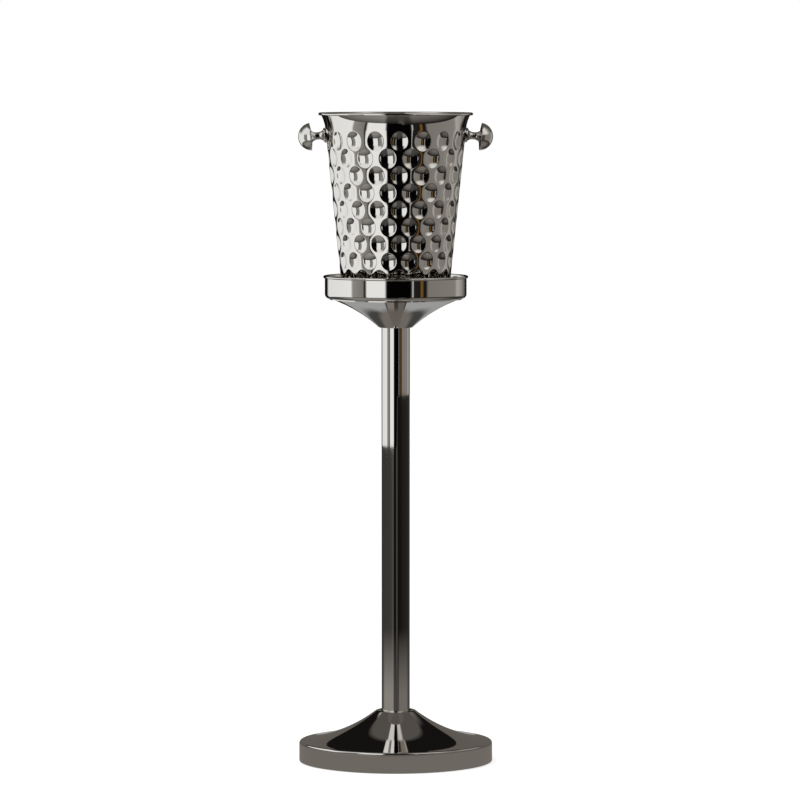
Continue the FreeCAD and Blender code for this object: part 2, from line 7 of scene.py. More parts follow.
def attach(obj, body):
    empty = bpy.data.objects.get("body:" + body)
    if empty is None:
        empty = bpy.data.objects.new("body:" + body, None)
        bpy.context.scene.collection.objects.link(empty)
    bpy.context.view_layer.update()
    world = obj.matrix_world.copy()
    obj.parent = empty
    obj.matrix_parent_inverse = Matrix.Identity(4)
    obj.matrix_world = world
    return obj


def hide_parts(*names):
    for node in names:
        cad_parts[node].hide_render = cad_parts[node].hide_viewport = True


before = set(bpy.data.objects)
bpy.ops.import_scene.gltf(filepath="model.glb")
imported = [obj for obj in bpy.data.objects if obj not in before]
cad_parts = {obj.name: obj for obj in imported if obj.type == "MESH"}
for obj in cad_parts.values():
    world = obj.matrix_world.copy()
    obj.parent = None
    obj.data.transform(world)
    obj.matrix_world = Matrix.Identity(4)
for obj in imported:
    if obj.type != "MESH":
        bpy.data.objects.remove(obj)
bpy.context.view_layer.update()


# The camera stands about seven metres off and just above the rim, as a long lens would for a
# catalogue picture. It is turned three degrees round the set, which puts the front hollow of every
# second row a little right of the middle.
CAMERA_DISTANCE = 6.87
CAMERA_HEIGHT = 0.953
CAMERA_TURN = math.radians(-3.0)
CAMERA_TILT = 3.874
VIEW_ANGLE = 8.916
SENSOR_WIDTH = 36.0
camera_data = bpy.data.cameras.new("camera")
camera_data.sensor_width = SENSOR_WIDTH
camera_data.lens = SENSOR_WIDTH / 2 / math.tan(math.radians(VIEW_ANGLE / 2))
# The stand is 4.3 pixels left of the middle of a picture 800 pixels wide
camera_data.shift_x = 4.3 / 800
camera = bpy.data.objects.new("camera", camera_data)
camera.location = (CAMERA_DISTANCE * math.sin(CAMERA_TURN),
                   -CAMERA_DISTANCE * math.cos(CAMERA_TURN), CAMERA_HEIGHT)
camera.rotation_euler = (math.radians(90 - CAMERA_TILT), 0, CAMERA_TURN)
bpy.context.scene.collection.objects.link(camera)
bpy.context.scene.camera = camera
bpy.context.scene.view_settings.view_transform = "Standard"


# The studio: a pale floor, a white surround and one broad lamp overhead. A ring of screens, and a
# second set of colours on the floor, are seen only by the mirror polish. Their white, grey and dark
# parts are what gives it its upright stripes.
def linear(text):
    # An sRGB hex value as the linear colour that a node takes
    channels = [int(text[i:i + 2], 16) / 255 for i in (0, 2, 4)]
    return [c / 12.92 if c <= 0.04045 else ((c + 0.055) / 1.055) ** 2.4 for c in channels] + [1.0]


def add(tree, kind, values=(), **settings):
    # Adds a node with its settings. A value that is a socket is linked, any other is set
    node = tree.nodes.new(kind)
    for name, setting in settings.items():
        setattr(node, name, setting)
    for key, value in (values.items() if isinstance(values, dict) else enumerate(values)):
        # A node such as Mix has a socket of the same name for each kind of value, and one is on
        socket = node.inputs[key] if isinstance(key, int) else [
            s for s in node.inputs if s.name == key and s.enabled][0]
        if isinstance(value, bpy.types.NodeSocket):
            tree.links.new(value, socket)
        else:
            socket.default_value = value
    return node


def new_material(name):
    material = bpy.data.materials.new(name)
    material.use_nodes = True
    material.node_tree.nodes.clear()
    return material, material.node_tree


def plain_mesh(name, vertices, faces, material, sharp=None):
    # A smooth mesh. Edges that bend by more than so many degrees stay sharp
    mesh = bpy.data.meshes.new(name)
    mesh.from_pydata(vertices, [], faces)
    mesh.materials.append(material)
    mesh.shade_smooth()
    if sharp is not None:
        mesh.set_sharp_from_angle(angle=math.radians(sharp))
    thing = bpy.data.objects.new(name, mesh)
    bpy.context.scene.collection.objects.link(thing)
    return thing


# What the polish sees, as degrees round the set and a colour: 0 is the camera's side and positive
# is to its right. White screens stand left, grey walls right and dark gaps between them. The first
# list is the screens up to the bucket's rim, the second is the screens above it, and the other two
# are the floor, near the foot and further out
walls_seen = [
    (-180, "161514"), (-143, "161514"), (-136, "F4F4F4"), (-74, "FFFFFF"), (-71, "9A9896"),
    (-52, "858381"), (-50, "2A2928"), (-47, "2A2928"), (-46, "FFFFFF"), (-17, "FFFFFF"),
    (-14, "040404"), (23, "040404"), (25, "303030"), (26.5, "E8E8E8"), (28, "262524"),
    (38, "1E1D1C"), (40, "7A5A2C"), (42, "7A5A2C"), (44, "181716"), (48, "1C1B1A"),
    (52, "86827D"), (108, "8F8B86"), (114, "B9B6B1"), (126, "A8A5A0"), (142, "6A6764"),
    (152, "161514"),
]
lamps_seen = [
    (-180, "5A5652"), (-122, "5A5652"), (-102, "B0ADAA"), (-92, "F4F4F4"), (-25, "F4F4F4"),
    (-18, "0C0C0C"), (20, "0C0C0C"), (30, "D8D6D2"), (70, "EDEBE8"), (95, "A09C98"),
    (120, "5A5652"),
]
near_floor_seen = [
    (-180, "A9ABAC"), (-164, "A9ABAC"), (-158, "4A4A4A"), (-125, "4A4A4A"), (-100, "96928E"),
    (-20, "96928E"), (-14, "4C4A48"), (23, "4C4A48"), (30, "7B7671"), (100, "7B7671"),
    (125, "4A4A4A"), (158, "4A4A4A"), (164, "A9ABAC"),
]
far_floor_seen = [
    (-180, "A4A3A2"), (-166, "A4A3A2"), (-160, "3A3938"), (-130, "3A3938"), (-80, "403E3C"),
    (-46, "403E3C"), (-30, "4A4846"), (-19, "5C5A58"), (-15, "141312"), (3, "141312"),
    (6, "55524F"), (12, "55524F"), (16, "141312"), (40, "1A1817"), (60, "24211F"),
    (110, "2A2725"), (135, "3A3938"), (160, "3A3938"), (166, "A4A3A2"),
]


def all_round(tree, spot, colours):
    # The colours seen round the set, as a ramp over the bearing of a place in it
    east, north = add(tree, "ShaderNodeSeparateXYZ", [spot]).outputs[:2]
    south = add(tree, "ShaderNodeMath", [north, -1.0], operation="MULTIPLY").outputs[0]
    bearing = add(tree, "ShaderNodeMath", [east, south], operation="ARCTAN2").outputs[0]
    bearing = add(tree, "ShaderNodeMath", [bearing, CAMERA_TURN], operation="SUBTRACT").outputs[0]
    share = add(tree, "ShaderNodeMapRange",
                {"Value": bearing, "From Min": -math.pi, "From Max": math.pi})
    band = add(tree, "ShaderNodeValToRGB", [share.outputs[0]])
    stops = band.color_ramp.elements
    for i, (degrees, colour) in enumerate(colours):
        stop = stops[i] if i < 2 else stops.new(1.0)
        stop.position = degrees / 360 + 0.5
        stop.color = linear(colour)
    return band.outputs[0]


# The surround is white to the camera and dimmer where it lights the set. The polish sees it as a
# warm grey roof above the screens
world = bpy.data.worlds.new("white surround")
world.use_nodes = True
world.node_tree.nodes.clear()
bpy.context.scene.world = world
tree = world.node_tree
ray = add(tree, "ShaderNodeLightPath")
level = add(tree, "ShaderNodeMapRange",
            {"Value": ray.outputs["Is Camera Ray"], "To Min": 0.55, "To Max": 1.0})
plain = add(tree, "ShaderNodeBackground",
            {"Color": linear("FFFFFF"), "Strength": level.outputs[0]})
roof = add(tree, "ShaderNodeBackground", {"Color": linear("66615C"), "Strength": 1.0})
sky = add(tree, "ShaderNodeMixShader",
          [ray.outputs["Is Glossy Ray"], plain.outputs[0], roof.outputs[0]])
add(tree, "ShaderNodeOutputWorld", {"Surface": sky.outputs[0]})

# The screens stand in a ring round the set. They end above the floor, higher up on the right, and
# only the polish sees them
RING_SIDES = 180
RING_RADIUS = 0.9
RING_TOP = 2.4
RING_FOOT_LEFT = 0.358
RING_FOOT_RIGHT = 0.436
RIGHT_FROM = 0.12
screen_material, tree = new_material("studio screens")
spot = add(tree, "ShaderNodeNewGeometry").outputs["Position"]
height = add(tree, "ShaderNodeSeparateXYZ", [spot]).outputs["Z"]
part = add(tree, "ShaderNodeMapRange", {"Value": height, "From Min": 0.97, "From Max": 1.13})
low = all_round(tree, spot, walls_seen)
high = all_round(tree, spot, lamps_seen)
seen = add(tree, "ShaderNodeMix", {"Factor": part.outputs[0], "A": low, "B": high}, data_type="RGBA")
shade = add(tree, "ShaderNodeEmission", {"Color": seen.outputs[2], "Strength": 1.0})
add(tree, "ShaderNodeOutputMaterial", {"Surface": shade.outputs[0]})
ring = []
for top in (False, True):
    for i in range(RING_SIDES):
        x = math.cos(2 * math.pi * i / RING_SIDES)
        y = math.sin(2 * math.pi * i / RING_SIDES)
        foot = RING_FOOT_RIGHT if x > RIGHT_FROM else RING_FOOT_LEFT
        ring.append((RING_RADIUS * x, RING_RADIUS * y, RING_TOP if top else foot))
sides = []
for i in range(RING_SIDES):
    j = (i + 1) % RING_SIDES
    sides.append((i, j, j + RING_SIDES, i + RING_SIDES))
screens = plain_mesh("studio_screens", ring, sides, screen_material)
screens.visible_camera = False
screens.visible_diffuse = False
screens.visible_shadow = False
screens.visible_transmission = False

FLOOR_HALF = 60.0
floor_material, tree = new_material("painted studio floor")
ray = add(tree, "ShaderNodeLightPath")
paint = add(tree, "ShaderNodeBsdfDiffuse", {"Color": linear("C9C8C6")})
glow = add(tree, "ShaderNodeMapRange",
           {"Value": ray.outputs["Is Camera Ray"], "To Min": 0.0, "To Max": 0.7})
light = add(tree, "ShaderNodeEmission", {"Color": linear("FFFFFF"), "Strength": glow.outputs[0]})
both = add(tree, "ShaderNodeAddShader", [paint.outputs[0], light.outputs[0]])
# The polish mirrors the floor close to the foot in warm grey, the stand's shadow painted in,
# then in colours that change round the set, which are mostly dark further out
spot = add(tree, "ShaderNodeNewGeometry").outputs["Position"]
away = add(tree, "ShaderNodeVectorMath", [spot], operation="LENGTH").outputs["Value"]
# Painted shadow: the warm grey that the polish sees on the floor round the foot
seen = linear("7B7671")
for start, end, colours in ((0.36, 0.5, near_floor_seen), (0.75, 1.6, far_floor_seen)):
    band = all_round(tree, spot, colours)
    part = add(tree, "ShaderNodeMapRange", {"Value": away, "From Min": start, "From Max": end})
    mixed = add(tree, "ShaderNodeMix", {"Factor": part.outputs[0], "A": seen, "B": band},
                data_type="RGBA")
    seen = mixed.outputs[2]
mirrored = add(tree, "ShaderNodeEmission", {"Color": seen, "Strength": 1.0})
both = add(tree, "ShaderNodeMixShader",
           [ray.outputs["Is Glossy Ray"], both.outputs[0], mirrored.outputs[0]])
add(tree, "ShaderNodeOutputMaterial", {"Surface": both.outputs[0]})
floor_corners = [(-FLOOR_HALF, -FLOOR_HALF, 0), (FLOOR_HALF, -FLOOR_HALF, 0),
                 (FLOOR_HALF, FLOOR_HALF, 0), (-FLOOR_HALF, FLOOR_HALF, 0)]
studio_floor = plain_mesh("studio_floor", floor_corners, [(0, 1, 2, 3)], floor_material)

# The lamp is a disk 2.4 m across, above the set and a little to the front left, and it is aimed at
# the column. The polish doesn't see it
lamp_data = bpy.data.lights.new("overhead_lamp", "AREA")
lamp_data.shape = "DISK"
lamp_data.size = 2.4
lamp_data.energy = 60
lamp = bpy.data.objects.new("overhead_lamp", lamp_data)
lamp.location = (-1.2, -0.8, 3.4)
lamp.rotation_euler = Vector((1.2, 0.8, -3.0)).to_track_quat("-Z", "Y").to_euler()
lamp.visible_glossy = False
bpy.context.scene.collection.objects.link(lamp)


# Foot cover: stainless sheet 1.2 mm thick, spun to a low trumpet with a small rolled shoulder and
# neck. It is hemmed under the weight that it covers, and mirror polished.
# The polish gives the eye clear reflections with hardly any haze, in a slightly warm grey
steel, tree = new_material("mirror polished stainless steel")
shader = add(tree, "ShaderNodeBsdfPrincipled",
             {"Base Color": linear("E2E0DC"), "Metallic": 1.0, "Roughness": 0.04})
add(tree, "ShaderNodeOutputMaterial", {"Surface": shader.outputs[0]})


def arc(centre_r, centre_z, radius, start, end, count):
    # Points of an arc, from one angle in degrees to another
    angles = [math.radians(start + (end - start) * i / count) for i in range(count + 1)]
    return [(centre_r + radius * math.cos(a), centre_z + radius * math.sin(a)) for a in angles]


def one_sheet_in(line, sheet):
    # The other face of a sheet: each point of the line moved square to it, to the left of the way
    moved = []
    for i, (r, z) in enumerate(line):
        ways = []
        for a, b in ((i - 1, i), (i, i + 1)):
            if a >= 0 and b < len(line):
                step = Vector((line[b][0] - line[a][0], line[b][1] - line[a][1]))
                if step.length > 1e-6:
                    ways.append(step.normalized())
        way = sum(ways, Vector((0, 0))).normalized()
        stretch = sheet / max(way.dot(ways[0]), 0.5)
        moved.append((r - way.y * stretch, z + way.x * stretch))
    return moved


def turned(line, segments, closed=True):
    # A line of (radius, height) in millimetres turned about Z: vertices in metres, and faces
    vertices, rings, faces = [], [], []
    for r, z in line:
        if r < 1e-6:
            rings.append([len(vertices)] * segments)
            vertices.append((0, 0, z / 1000))
            continue
        rings.append(list(range(len(vertices), len(vertices) + segments)))
        for i in range(segments):
            turn = 2 * math.pi * i / segments
            vertices.append((r * math.cos(turn) / 1000, r * math.sin(turn) / 1000, z / 1000))
    for low, high in zip(rings, rings[1:] + rings[:1] if closed else rings[1:]):
        for i in range(segments):
            j = (i + 1) % segments
            face = []
            for corner in (low[i], low[j], high[j], high[i]):
                if corner not in face:
                    face.append(corner)
            if len(face) > 2:
                faces.append(face)
    return vertices, faces


def spin(name, line, segments, sharp=35):
    vertices, faces = turned(line, segments)
    return plain_mesh(name, vertices, faces, steel, sharp)


FLOOR_PAD = 2.2
BASE_RADIUS = 130.0
BASE_SHEET = 1.2
BASE_HEM = 6
HEM_BEND = 1.5
SHOULDER_HEIGHT = 25.0
SHOULDER_BEND = 3.5
SHOULDER_SLOPE = 6.5
LIP_BEND = 5.0
LIP_SLOPE = 37.5
COLUMN_RADIUS = 19.0
NECK_HOLE = COLUMN_RADIUS + 0.3
NECK_EDGE = 4.5
hem = FLOOR_PAD - BASE_SHEET
outward = math.sin(math.radians(SHOULDER_SLOPE))
inward = math.sin(math.radians(LIP_SLOPE))
# The radius of the long hollow curve that runs from the shoulder to the lip of the neck
trumpet = (BASE_RADIUS - SHOULDER_BEND - NECK_HOLE - LIP_BEND + SHOULDER_BEND * outward
           - LIP_BEND * inward) / (inward - outward)
curve_r = BASE_RADIUS - SHOULDER_BEND + (SHOULDER_BEND + trumpet) * outward
curve_z = SHOULDER_HEIGHT + (SHOULDER_BEND + trumpet) * math.cos(math.radians(SHOULDER_SLOPE))
lip_r = curve_r - (trumpet + LIP_BEND) * inward
lip_z = curve_z - (trumpet + LIP_BEND) * math.cos(math.radians(LIP_SLOPE))
foot_line = [(BASE_RADIUS - BASE_HEM, hem)]
foot_line += arc(BASE_RADIUS - HEM_BEND, hem + HEM_BEND, HEM_BEND, -90, 0, 6)
foot_line += arc(BASE_RADIUS - SHOULDER_BEND, SHOULDER_HEIGHT, SHOULDER_BEND,
                 0, 90 - SHOULDER_SLOPE, 14)
foot_line += arc(curve_r, curve_z, trumpet, 270 - SHOULDER_SLOPE, 270 - LIP_SLOPE, 60)[1:]
foot_line += arc(lip_r, lip_z, LIP_BEND, 90 - LIP_SLOPE, 180, 16)[1:]
foot_line += [(NECK_HOLE, lip_z - NECK_EDGE)]
base_shell = spin("foot_cover", foot_line + one_sheet_in(foot_line, BASE_SHEET)[::-1], 256)
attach(base_shell, "stand")
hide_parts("base_shell")


# Column: plain stainless tube, 38 mm across with a 1.2 mm wall, cut square and mirror polished.
# A plug that is bolted from the foot and one that is bolted from the tray hold its ends.
COLUMN_WALL = 1.2
COLUMN_FOOT = 46.0
COLUMN_TOP = COLUMN_FOOT + 573.3
tube_line = [(COLUMN_RADIUS - COLUMN_WALL, COLUMN_FOOT), (COLUMN_RADIUS, COLUMN_FOOT),
             (COLUMN_RADIUS, COLUMN_TOP), (COLUMN_RADIUS - COLUMN_WALL, COLUMN_TOP)]
column = spin("column", tube_line, 160)
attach(column, "stand")
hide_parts("column_tube")


# Tray bell: stainless sheet spun to a trumpet under the tray, with a flat flange that is welded
# under the pan and shows as a thin bright step, and a neck rolled in round the column.
TRAY_SHEET = 1.2
WELL_DEPTH = 5.0
TRAY_FLOOR = COLUMN_TOP + TRAY_SHEET + WELL_DEPTH
TRAY_UNDER = TRAY_FLOOR - TRAY_SHEET
BELL_SHEET = 1.2
BELL_FLANGE = 88.6
BELL_START = 85.0
BELL_NECK = 21.6
NECK_BEND = 2.0
EDGE_BEND = 1.5
RIM_SLOPE = 20
NECK_SLOPE = 42
rim_sine = math.sin(math.radians(RIM_SLOPE))
neck_sine = math.sin(math.radians(NECK_SLOPE))
neck_cosine = math.cos(math.radians(NECK_SLOPE))
bell_z = TRAY_UNDER - BELL_SHEET
bell_curve = (BELL_START - BELL_NECK - NECK_BEND * neck_sine) / (neck_sine - rim_sine)
bell_r0 = BELL_START + bell_curve * rim_sine
bell_z0 = bell_z - bell_curve * math.cos(math.radians(RIM_SLOPE))
bell_foot = bell_z0 + bell_curve * neck_cosine + NECK_BEND * neck_cosine - NECK_BEND
bell_line = [(NECK_HOLE, bell_foot + NECK_EDGE)]
bell_line += arc(NECK_HOLE + EDGE_BEND, bell_foot + EDGE_BEND, EDGE_BEND, 180, 270, 6)
bell_line += arc(BELL_NECK, bell_foot + NECK_BEND, NECK_BEND, 270, 360 - NECK_SLOPE, 6)
bell_line += arc(bell_r0, bell_z0, bell_curve, 90 + NECK_SLOPE, 90 + RIM_SLOPE, 60)[1:]
bell_line += [(BELL_FLANGE, bell_z)]
tray_bell = spin("bell", bell_line + one_sheet_in(bell_line, BELL_SHEET)[::-1], 256, sharp=15)
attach(tray_bell, "stand")
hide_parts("tray_bell")


# Tray pan: stainless sheet drawn to a shallow dish with an upright wall and a rolled rim, mirror
# polished. The well in its middle is bolted to the plug in the column's top.
TRAY_RADIUS = 95.0
TRAY_CORNER = 6.0
TRAY_TOP = TRAY_UNDER + 30.7
TRAY_BEAD = 1.7
BOLT_HOLE = 4.5
WELL_RADIUS = 21.0
WELL_MOUTH = 25.0
bead_r = TRAY_RADIUS - TRAY_SHEET + TRAY_BEAD
bead_z = TRAY_TOP - TRAY_BEAD
pan_line = [(BOLT_HOLE, COLUMN_TOP), (WELL_RADIUS, COLUMN_TOP), (WELL_MOUTH, TRAY_UNDER)]
pan_line += arc(TRAY_RADIUS - TRAY_CORNER, TRAY_UNDER + TRAY_CORNER, TRAY_CORNER, -90, 0, 12)
pan_in = one_sheet_in(pan_line + [(TRAY_RADIUS, bead_z)], TRAY_SHEET)
# The bead starts where the wall's outer face meets it and ends flush with the inner face
drop = math.degrees(math.asin((TRAY_BEAD - TRAY_SHEET) / TRAY_BEAD))
pan_roll = arc(bead_r, bead_z, TRAY_BEAD, -90 - drop, 180, 20)
tray = spin("tray_pan", pan_line + pan_roll + pan_in[-2::-1], 256)
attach(tray, "stand")
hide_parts("tray_dish")


# Bucket: stainless sheet 1 mm thick, spun to a taper and mirror polished, with nine rows of round
# hollows punched in from outside, each row turned half a step, a flared rim rolled outwards and a
# raised bottom. It stands loose in the tray.
BUCKET_SHEET = 1.0
FOOT_RADIUS = 70.8
LEAN_DEGREES = 5.9
LEAN = math.radians(LEAN_DEGREES)
SLOPE = math.tan(LEAN)
BUCKET_TOP = TRAY_FLOOR + 247.6
ROWS, STEPS = 9, 18
FIRST_ROW = BUCKET_TOP - 37.3
PITCH = 22.75
TOP_DIMPLE, FOOT_DIMPLE = 13.9, 11.8
# A hollow's depth as a share of its radius, how softly it runs into the wall, and how much steeper
# its bowl is than one that would just reach the rim
DISH = 0.27
BLEND = 0.24
STEEPER = 1.12
# How far a tile reaches from its hollow's middle, in rows: to the corner it shares with the tiles of
# the next row, and to the plain edge above the first row and below the last
CORNER = 0.72
EDGE = 0.66
# Points along each side of a tile, and how far out its rings of points lie on each face of the sheet
SIDE_POINTS = 6
OUTER_RINGS = (0.25, 0.5, 0.7, 0.8, 0.86, 0.91, 0.96, 1.0, 2.0)
INNER_RINGS = (0.4, 0.75, 0.9, 1.0, 2.0)


def dimple_tile(upper, lower, rings):
    # A six sided tile round one hollow, as a flat plan. x and y say which point of the tile's edge a
    # vertex lies towards, in steps and rows, and z says how far out: 0 is the middle of the hollow,
    # 1 its rim and 2 the edge of the tile
    above = EDGE if upper == EDGE else 1 - CORNER
    below = EDGE if lower == EDGE else 1 - CORNER
    corners = [(0, upper), (-0.5, above), (-0.5, -below), (0, -lower), (0.5, -below), (0.5, above)]
    edge = []
    for i in range(6):
        (x0, y0), (x1, y1) = corners[i], corners[(i + 1) % 6]
        for j in range(SIDE_POINTS):
            edge.append((x0 + (x1 - x0) * j / SIDE_POINTS, y0 + (y1 - y0) * j / SIDE_POINTS))
    vertices = [(0, 1, 0)] + [(x, y, out) for out in rings for x, y in edge]
    count = len(edge)
    faces = [(0, 1 + i, 1 + (i + 1) % count) for i in range(count)]
    for ring in range(len(rings) - 1):
        a, b = 1 + ring * count, 1 + (ring + 1) * count
        for i in range(count):
            j = (i + 1) % count
            faces.append((a + i, b + i, b + j, a + j))
    return plain_mesh("tile", vertices, faces, steel)


# Puts a tile at each centre and bends it to the wall. A centre holds a bearing in radians, a height
# and a hollow's radius in millimetres, in place of x, y and z
wall_tree = bpy.data.node_groups.new("dimpled wall", "GeometryNodeTree")
for name, kind in (
        ("Centres", "NodeSocketGeometry"), ("Tile", "NodeSocketObject"),
        ("Foot radius", "NodeSocketFloat"), ("Floor height", "NodeSocketFloat"),
        ("Slope", "NodeSocketFloat"), ("Step", "NodeSocketFloat"), ("Row pitch", "NodeSocketFloat"),
        ("Dish", "NodeSocketFloat"), ("Blend", "NodeSocketFloat"), ("Inset", "NodeSocketFloat"),
        ("Finish", "NodeSocketMaterial")):
    wall_tree.interface.new_socket(name, in_out="INPUT", socket_type=kind)
wall_tree.interface.new_socket("Wall", in_out="OUTPUT", socket_type="NodeSocketGeometry")
sockets = {item.name: item.identifier for item in wall_tree.interface.items_tree
           if item.in_out == "INPUT"}
given = add(wall_tree, "NodeGroupInput").outputs
position = add(wall_tree, "GeometryNodeInputPosition").outputs[0]
centre = add(wall_tree, "GeometryNodeStoreNamedAttribute",
             {"Geometry": given["Centres"], "Name": "centre", "Value": position},
             data_type="FLOAT_VECTOR", domain="POINT")
tile_info = add(wall_tree, "GeometryNodeObjectInfo", {"Object": given["Tile"]})
tiles = add(wall_tree, "GeometryNodeInstanceOnPoints",
            {"Points": centre.outputs[0], "Instance": tile_info.outputs["Geometry"]})
laid = add(wall_tree, "GeometryNodeRealizeInstances", [tiles.outputs[0]])
held = add(wall_tree, "GeometryNodeInputNamedAttribute", {"Name": "centre"},
           data_type="FLOAT_VECTOR")
plan = add(wall_tree, "ShaderNodeVectorMath", [position, held.outputs[0]], operation="SUBTRACT")
across, up, out = add(wall_tree, "ShaderNodeSeparateXYZ", [plan.outputs[0]]).outputs
turn, height, size = add(wall_tree, "ShaderNodeSeparateXYZ", [held.outputs[0]]).outputs
known = {
    "across": across, "up": up, "out": out, "turn": turn, "height": height, "size": size,
    "foot": given["Foot radius"], "floor": given["Floor height"], "slope": given["Slope"],
    "step": given["Step"], "pitch": given["Row pitch"], "dish": given["Dish"],
    "inset": given["Inset"], "blend": given["Blend"],
}
for name, operation, *terms in (
        # How far the tile's edge is from the middle, in millimetres, and which way
        ("above", "SUBTRACT", "height", "floor"), ("wall", "MULTIPLY_ADD", "above", "slope", "foot"),
        ("arc", "MULTIPLY", "across", "step"), ("reach_x", "MULTIPLY", "arc", "wall"),
        ("reach_y", "MULTIPLY", "up", "pitch"), ("x_squared", "MULTIPLY", "reach_x", "reach_x"),
        ("squared", "MULTIPLY_ADD", "reach_y", "reach_y", "x_squared"),
        ("reach", "SQRT", "squared"),
        ("share_x", "DIVIDE", "reach_x", "reach"), ("share_y", "DIVIDE", "reach_y", "reach"),
        # The rim of a ball's print is round upright and narrower across, where the wall curves away
        ("share_squared", "MULTIPLY", "share_x", "share_x"),
        ("curving", "MULTIPLY", "share_squared", "size"),
        ("flat", "MULTIPLY", "wall", "dish"), ("twice_flat", "MULTIPLY", "flat", 2.0),
        ("bend", "DIVIDE", "curving", "twice_flat"), ("bend_one", "ADD", "bend", 1.0),
        ("narrow", "SQRT", "bend_one"), ("rim", "DIVIDE", "size", "narrow"),
        # How far out the vertex is, and from that its height, its bearing and the wall's radius
        ("inner", "MINIMUM", "out", 1.0), ("outer", "SUBTRACT", "out", "inner"),
        ("room", "SUBTRACT", "reach", "rim"), ("past", "MULTIPLY", "outer", "room"),
        ("far", "MULTIPLY_ADD", "inner", "rim", "past"),
        ("z", "MULTIPLY_ADD", "far", "share_y", "height"),
        ("sideways", "MULTIPLY", "far", "share_x"), ("aside", "DIVIDE", "sideways", "wall"),
        ("round", "ADD", "turn", "aside"), ("over", "SUBTRACT", "z", "floor"),
        ("face", "MULTIPLY_ADD", "over", "slope", "foot"),
        # How deep the bowl is there, blended into the wall
        ("spread", "DIVIDE", "far", "rim"), ("spread_squared", "MULTIPLY", "spread", "spread"),
        ("bowl", "MULTIPLY_ADD", "spread_squared", -STEEPER, 1.0),
        ("fill", "SMOOTH_MAX", "bowl", 0.0, "blend"), ("depth", "MULTIPLY", "size", "dish"),
        ("sunk", "MULTIPLY_ADD", "fill", "depth", "inset"), ("r", "SUBTRACT", "face", "sunk"),
        ("cosine", "COSINE", "round"), ("sine", "SINE", "round"),
        ("x", "MULTIPLY", "r", "cosine"), ("y", "MULTIPLY", "r", "sine")):
    values = [known.get(term, term) for term in terms]
    known[name] = add(wall_tree, "ShaderNodeMath", values, operation=operation).outputs[0]
MILLIMETRES = (0.001, 0.001, 0.001)
spot = add(wall_tree, "ShaderNodeCombineXYZ", [known["x"], known["y"], known["z"]])
spot = add(wall_tree, "ShaderNodeVectorMath", [spot.outputs[0], MILLIMETRES], operation="MULTIPLY")
wall = add(wall_tree, "GeometryNodeSetPosition",
           {"Geometry": laid.outputs[0], "Position": spot.outputs[0]})
dressed = add(wall_tree, "GeometryNodeSetMaterial",
              {"Geometry": wall.outputs[0], "Material": given["Finish"]})
add(wall_tree, "NodeGroupOutput", [dressed.outputs[0]])


def dimpled_wall(rows, tile, inset):
    # One face of some rows of the wall, as a mesh. The inset is 0 outside and the sheet inside
    step = 360 / STEPS
    centres = []
    for row in rows:
        size = TOP_DIMPLE + (FOOT_DIMPLE - TOP_DIMPLE) * row / (ROWS - 1)
        for i in range(STEPS):
            turn = (step / 2 if row % 2 == 0 else 0) + step * i
            centres.append((math.radians(turn), FIRST_ROW - row * PITCH, size))
    wall = plain_mesh("wall rows", centres, [], steel)
    dimples = wall.modifiers.new("dimples", "NODES")
    dimples.node_group = wall_tree
    for name, setting in (
            ("Tile", tile), ("Foot radius", FOOT_RADIUS), ("Floor height", TRAY_FLOOR),
            ("Slope", SLOPE), ("Step", 2 * math.pi / STEPS), ("Row pitch", PITCH), ("Dish", DISH),
            ("Blend", BLEND), ("Inset", inset / math.cos(LEAN)), ("Finish", steel)):
        dimples[sockets[name]] = setting
    made = bpy.data.meshes.new_from_object(
        wall.evaluated_get(bpy.context.evaluated_depsgraph_get()))
    bpy.data.objects.remove(wall)
    return made


wall_meshes = []
for inset, rings in ((0.0, OUTER_RINGS), (BUCKET_SHEET, INNER_RINGS)):
    for rows, upper, lower in (([0], EDGE, CORNER), (range(1, ROWS - 1), CORNER, CORNER),
                               ([ROWS - 1], CORNER, EDGE)):
        tile = dimple_tile(upper, lower, rings)
        wall_meshes.append(dimpled_wall(rows, tile, inset))
        bpy.data.objects.remove(tile)


def wall_radius(z, inset=0.0):
    return FOOT_RADIUS + (z - TRAY_FLOOR) * SLOPE - inset / math.cos(LEAN)


# The bottom, which rises in the middle, and its corner, up to the lowest row
BOTTOM_RISE = 5
BOTTOM_FLAT = 44
BOTTOM_RING = 50
BUCKET_CORNER = 8.0
corner_r = FOOT_RADIUS - BUCKET_CORNER * (1 - math.sin(LEAN)) / math.cos(LEAN)
dimples_foot = FIRST_ROW - PITCH * (ROWS - 1) - EDGE * PITCH
bottom = [(0, TRAY_FLOOR + BOTTOM_RISE), (BOTTOM_FLAT, TRAY_FLOOR + BOTTOM_RISE),
          (BOTTOM_RING, TRAY_FLOOR)]
bottom += arc(corner_r, TRAY_FLOOR + BUCKET_CORNER, BUCKET_CORNER, -90, -LEAN_DEGREES, 12)
bottom += [(wall_radius(dimples_foot), dimples_foot)]
bottom_in = one_sheet_in(bottom, BUCKET_SHEET)[:-1]
bottom_in += [(wall_radius(dimples_foot, BUCKET_SHEET), dimples_foot)]

